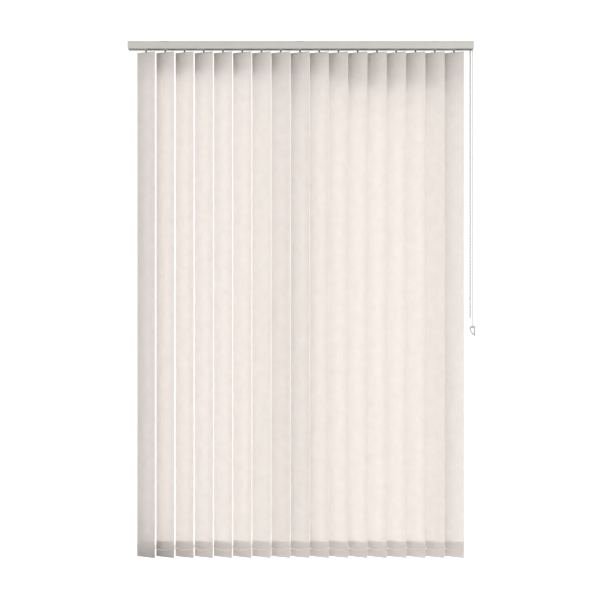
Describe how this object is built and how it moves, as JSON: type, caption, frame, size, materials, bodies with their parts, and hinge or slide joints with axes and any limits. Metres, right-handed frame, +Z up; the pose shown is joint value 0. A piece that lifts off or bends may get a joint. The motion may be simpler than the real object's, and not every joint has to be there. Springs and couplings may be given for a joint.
{
  "type": "vertical blind",
  "caption": "Vertical blind: cloth louvres hang from carriers in an aluminium headrail, drawn by a cord loop and turned by a bead chain.",
  "frame": {"origin": "on the ceiling face of the middle bracket, above the headrail's centre line", "axes": "+X along the headrail towards the control end, -Y into the room, +Z up"},
  "size_m": [1.4419, 0.0508, 2.145],
  "materials": {
    "rail_aluminium": "satin anodised",
    "cap_plastic": "moulded, fine satin",
    "zinc_steel": "zinc plated",
    "rod_aluminium": "extruded",
    "gear_plastic": "moulded acetal",
    "axle_steel": "drawn wire",
    "cord_fibre": "braided",
    "weight_plastic": "glossy",
    "chain_plastic": "glossy beads",
    "connector_plastic": "clear",
    "link_chain": "glossy beads",
    "louvre_fabric": "woven, stiffened"
  },
  "bodies": {
    "root": {"headrail": "rail_aluminium", "control_end_cap": "cap_plastic", "return_end_cap": "cap_plastic", "end_cap_screws": "zinc_steel", "bracket_left": "zinc_steel", "bracket_middle": "zinc_steel", "bracket_right": "zinc_steel", "pulley_axle": "axle_steel", "return_pulley_pin": "axle_steel", "traverse_cord_run": "cord_fibre", "traverse_cord_loop": "cord_fibre", "cord_weight": "weight_plastic", "tilt_chain": "chain_plastic", "chain_connector": "connector_plastic", "carrier_17": "gear_plastic"},
    "tilt_rod": {"tilt_rod": "rod_aluminium", "chain_sprocket": "gear_plastic"},
    "cord_pulley_front": {"cord_pulley_front": "gear_plastic"},
    "cord_pulley_back": {"cord_pulley_back": "gear_plastic"},
    "return_pulley": {"return_pulley": "gear_plastic"},
    "carrier_01": {"carrier_01": "gear_plastic"},
    "carrier_02": {"carrier_02": "gear_plastic"},
    "carrier_03": {"carrier_03": "gear_plastic"},
    "carrier_04": {"carrier_04": "gear_plastic"},
    "carrier_05": {"carrier_05": "gear_plastic"},
    "carrier_06": {"carrier_06": "gear_plastic"},
    "carrier_07": {"carrier_07": "gear_plastic"},
    "carrier_08": {"carrier_08": "gear_plastic"},
    "carrier_09": {"carrier_09": "gear_plastic"},
    "carrier_10": {"carrier_10": "gear_plastic"},
    "carrier_11": {"carrier_11": "gear_plastic"},
    "carrier_12": {"carrier_12": "gear_plastic"},
    "carrier_13": {"carrier_13": "gear_plastic"},
    "carrier_14": {"carrier_14": "gear_plastic"},
    "carrier_15": {"carrier_15": "gear_plastic"},
    "carrier_16": {"carrier_16": "gear_plastic"},
    "louvre_01": {"louvre_01": "louvre_fabric"},
    "louvre_02": {"louvre_02": "louvre_fabric"},
    "louvre_03": {"louvre_03": "louvre_fabric"},
    "louvre_04": {"louvre_04": "louvre_fabric"},
    "louvre_05": {"louvre_05": "louvre_fabric"},
    "louvre_06": {"louvre_06": "louvre_fabric"},
    "louvre_07": {"louvre_07": "louvre_fabric"},
    "louvre_08": {"louvre_08": "louvre_fabric"},
    "louvre_09": {"louvre_09": "louvre_fabric"},
    "louvre_10": {"louvre_10": "louvre_fabric"},
    "louvre_11": {"louvre_11": "louvre_fabric"},
    "louvre_12": {"louvre_12": "louvre_fabric"},
    "louvre_13": {"louvre_13": "louvre_fabric"},
    "louvre_14": {"louvre_14": "louvre_fabric"},
    "louvre_15": {"louvre_15": "louvre_fabric"},
    "louvre_16": {"louvre_16": "louvre_fabric"},
    "louvre_17": {"louvre_17": "louvre_fabric"},
    "stabiliser_chain_front": {"stabiliser_chain_front": "link_chain"},
    "stabiliser_chain_back": {"stabiliser_chain_back": "link_chain"}
  },
  "joints": [
    {"name": "traverse", "type": "slide", "parent": "root", "child": "carrier_01", "axis": [1, 0, 0], "range_m": [0, 0.928], "deforming": ["stabiliser_chain_front", "stabiliser_chain_back"]},
    {"name": "carrier_02_slide", "type": "slide", "parent": "root", "child": "carrier_02", "axis": [1, 0, 0], "range_m": [-0.0005, 0.8705]},
    {"name": "carrier_03_slide", "type": "slide", "parent": "root", "child": "carrier_03", "axis": [1, 0, 0], "range_m": [-0.0005, 0.8125]},
    {"name": "carrier_04_slide", "type": "slide", "parent": "root", "child": "carrier_04", "axis": [1, 0, 0], "range_m": [-0.0005, 0.7545]},
    {"name": "carrier_05_slide", "type": "slide", "parent": "root", "child": "carrier_05", "axis": [1, 0, 0], "range_m": [-0.0005, 0.6965]},
    {"name": "carrier_06_slide", "type": "slide", "parent": "root", "child": "carrier_06", "axis": [1, 0, 0], "range_m": [-0.0005, 0.6385]},
    {"name": "carrier_07_slide", "type": "slide", "parent": "root", "child": "carrier_07", "axis": [1, 0, 0], "range_m": [-0.0005, 0.5805]},
    {"name": "carrier_08_slide", "type": "slide", "parent": "root", "child": "carrier_08", "axis": [1, 0, 0], "range_m": [-0.0005, 0.5225]},
    {"name": "carrier_09_slide", "type": "slide", "parent": "root", "child": "carrier_09", "axis": [1, 0, 0], "range_m": [-0.0005, 0.4645]},
    {"name": "carrier_10_slide", "type": "slide", "parent": "root", "child": "carrier_10", "axis": [1, 0, 0], "range_m": [-0.0005, 0.4065]},
    {"name": "carrier_11_slide", "type": "slide", "parent": "root", "child": "carrier_11", "axis": [1, 0, 0], "range_m": [-0.0005, 0.3485]},
    {"name": "carrier_12_slide", "type": "slide", "parent": "root", "child": "carrier_12", "axis": [1, 0, 0], "range_m": [-0.0005, 0.2905]},
    {"name": "carrier_13_slide", "type": "slide", "parent": "root", "child": "carrier_13", "axis": [1, 0, 0], "range_m": [-0.0005, 0.2325]},
    {"name": "carrier_14_slide", "type": "slide", "parent": "root", "child": "carrier_14", "axis": [1, 0, 0], "range_m": [-0.0005, 0.1745]},
    {"name": "carrier_15_slide", "type": "slide", "parent": "root", "child": "carrier_15", "axis": [1, 0, 0], "range_m": [-0.0005, 0.1165]},
    {"name": "carrier_16_slide", "type": "slide", "parent": "root", "child": "carrier_16", "axis": [1, 0, 0], "range_m": [-0.0005, 0.0585]},
    {"name": "tilt", "type": "hinge", "parent": "root", "child": "louvre_17", "pos_m": [0.64, 0, -0.04], "axis": [0, 0, -1], "range_deg": [-17, 140]},
    {"name": "louvre_01_turn", "type": "hinge", "parent": "carrier_01", "child": "louvre_01", "pos_m": [-0.64, 0, -0.04], "axis": [0, 0, -1], "range_deg": [-17.5, 140.5]},
    {"name": "louvre_02_turn", "type": "hinge", "parent": "carrier_02", "child": "louvre_02", "pos_m": [-0.56, 0, -0.04], "axis": [0, 0, -1], "range_deg": [-17.5, 140.5]},
    {"name": "louvre_03_turn", "type": "hinge", "parent": "carrier_03", "child": "louvre_03", "pos_m": [-0.48, 0, -0.04], "axis": [0, 0, -1], "range_deg": [-17.5, 140.5]},
    {"name": "louvre_04_turn", "type": "hinge", "parent": "carrier_04", "child": "louvre_04", "pos_m": [-0.4, 0, -0.04], "axis": [0, 0, -1], "range_deg": [-17.5, 140.5]},
    {"name": "louvre_05_turn", "type": "hinge", "parent": "carrier_05", "child": "louvre_05", "pos_m": [-0.32, 0, -0.04], "axis": [0, 0, -1], "range_deg": [-17.5, 140.5]},
    {"name": "louvre_06_turn", "type": "hinge", "parent": "carrier_06", "child": "louvre_06", "pos_m": [-0.24, 0, -0.04], "axis": [0, 0, -1], "range_deg": [-17.5, 140.5]},
    {"name": "louvre_07_turn", "type": "hinge", "parent": "carrier_07", "child": "louvre_07", "pos_m": [-0.16, 0, -0.04], "axis": [0, 0, -1], "range_deg": [-17.5, 140.5]},
    {"name": "louvre_08_turn", "type": "hinge", "parent": "carrier_08", "child": "louvre_08", "pos_m": [-0.08, 0, -0.04], "axis": [0, 0, -1], "range_deg": [-17.5, 140.5]},
    {"name": "louvre_09_turn", "type": "hinge", "parent": "carrier_09", "child": "louvre_09", "pos_m": [0, 0, -0.04], "axis": [0, 0, -1], "range_deg": [-17.5, 140.5]},
    {"name": "louvre_10_turn", "type": "hinge", "parent": "carrier_10", "child": "louvre_10", "pos_m": [0.08, 0, -0.04], "axis": [0, 0, -1], "range_deg": [-17.5, 140.5]},
    {"name": "louvre_11_turn", "type": "hinge", "parent": "carrier_11", "child": "louvre_11", "pos_m": [0.16, 0, -0.04], "axis": [0, 0, -1], "range_deg": [-17.5, 140.5]},
    {"name": "louvre_12_turn", "type": "hinge", "parent": "carrier_12", "child": "louvre_12", "pos_m": [0.24, 0, -0.04], "axis": [0, 0, -1], "range_deg": [-17.5, 140.5]},
    {"name": "louvre_13_turn", "type": "hinge", "parent": "carrier_13", "child": "louvre_13", "pos_m": [0.32, 0, -0.04], "axis": [0, 0, -1], "range_deg": [-17.5, 140.5]},
    {"name": "louvre_14_turn", "type": "hinge", "parent": "carrier_14", "child": "louvre_14", "pos_m": [0.4, 0, -0.04], "axis": [0, 0, -1], "range_deg": [-17.5, 140.5]},
    {"name": "louvre_15_turn", "type": "hinge", "parent": "carrier_15", "child": "louvre_15", "pos_m": [0.48, 0, -0.04], "axis": [0, 0, -1], "range_deg": [-17.5, 140.5]},
    {"name": "louvre_16_turn", "type": "hinge", "parent": "carrier_16", "child": "louvre_16", "pos_m": [0.56, 0, -0.04], "axis": [0, 0, -1], "range_deg": [-17.5, 140.5]},
    {"name": "rod_turn", "type": "hinge", "parent": "root", "child": "tilt_rod", "pos_m": [0, 0.0092, -0.021], "axis": [1, 0, 0], "range_deg": [-206, 1682]},
    {"name": "cord_pulley_front_turn", "type": "hinge", "parent": "root", "child": "cord_pulley_front", "pos_m": [0.711, -0.017, -0.017], "axis": [0, 1, 0], "range_deg": [-5, 8867]},
    {"name": "cord_pulley_back_turn", "type": "hinge", "parent": "root", "child": "cord_pulley_back", "pos_m": [0.711, -0.005, -0.017], "axis": [0, 1, 0], "range_deg": [-8867, 5]},
    {"name": "return_pulley_turn", "type": "hinge", "parent": "root", "child": "return_pulley", "pos_m": [-0.698, -0.011, -0.011], "axis": [0, 0, 1], "range_deg": [-5, 8867]},
    {"name": "stabiliser_front_swing", "type": "hinge", "parent": "louvre_17", "child": "stabiliser_chain_front", "pos_m": [0.68183, -0.02356, -2.103], "axis": [0, 0, -1], "range_deg": [-140.5, 17.5]},
    {"name": "stabiliser_back_swing", "type": "hinge", "parent": "louvre_17", "child": "stabiliser_chain_back", "pos_m": [0.59817, 0.02356, -2.103], "axis": [0, 0, -1], "range_deg": [-140.5, 17.5]}
  ],
  "couplings": [
    {"joint": "carrier_02_slide", "follows": "traverse", "ratio": 0.9375},
    {"joint": "carrier_03_slide", "follows": "traverse", "ratio": 0.875},
    {"joint": "carrier_04_slide", "follows": "traverse", "ratio": 0.8125},
    {"joint": "carrier_05_slide", "follows": "traverse", "ratio": 0.75},
    {"joint": "carrier_06_slide", "follows": "traverse", "ratio": 0.6875},
    {"joint": "carrier_07_slide", "follows": "traverse", "ratio": 0.625},
    {"joint": "carrier_08_slide", "follows": "traverse", "ratio": 0.5625},
    {"joint": "carrier_09_slide", "follows": "traverse", "ratio": 0.5},
    {"joint": "carrier_10_slide", "follows": "traverse", "ratio": 0.4375},
    {"joint": "carrier_11_slide", "follows": "traverse", "ratio": 0.375},
    {"joint": "carrier_12_slide", "follows": "traverse", "ratio": 0.3125},
    {"joint": "carrier_13_slide", "follows": "traverse", "ratio": 0.25},
    {"joint": "carrier_14_slide", "follows": "traverse", "ratio": 0.1875},
    {"joint": "carrier_15_slide", "follows": "traverse", "ratio": 0.125},
    {"joint": "carrier_16_slide", "follows": "traverse", "ratio": 0.0625},
    {"joint": "louvre_01_turn", "follows": "tilt", "ratio": 1},
    {"joint": "louvre_02_turn", "follows": "tilt", "ratio": 1},
    {"joint": "louvre_03_turn", "follows": "tilt", "ratio": 1},
    {"joint": "louvre_04_turn", "follows": "tilt", "ratio": 1},
    {"joint": "louvre_05_turn", "follows": "tilt", "ratio": 1},
    {"joint": "louvre_06_turn", "follows": "tilt", "ratio": 1},
    {"joint": "louvre_07_turn", "follows": "tilt", "ratio": 1},
    {"joint": "louvre_08_turn", "follows": "tilt", "ratio": 1},
    {"joint": "louvre_09_turn", "follows": "tilt", "ratio": 1},
    {"joint": "louvre_10_turn", "follows": "tilt", "ratio": 1},
    {"joint": "louvre_11_turn", "follows": "tilt", "ratio": 1},
    {"joint": "louvre_12_turn", "follows": "tilt", "ratio": 1},
    {"joint": "louvre_13_turn", "follows": "tilt", "ratio": 1},
    {"joint": "louvre_14_turn", "follows": "tilt", "ratio": 1},
    {"joint": "louvre_15_turn", "follows": "tilt", "ratio": 1},
    {"joint": "louvre_16_turn", "follows": "tilt", "ratio": 1},
    {"joint": "rod_turn", "follows": "tilt", "ratio": 12},
    {"joint": "cord_pulley_front_turn", "follows": "traverse", "rad_per_m": 166.67},
    {"joint": "cord_pulley_back_turn", "follows": "traverse", "rad_per_m": -166.67},
    {"joint": "return_pulley_turn", "follows": "traverse", "rad_per_m": 166.67},
    {"joint": "stabiliser_front_swing", "follows": "tilt", "ratio": -1},
    {"joint": "stabiliser_back_swing", "follows": "tilt", "ratio": -1}
  ]
}
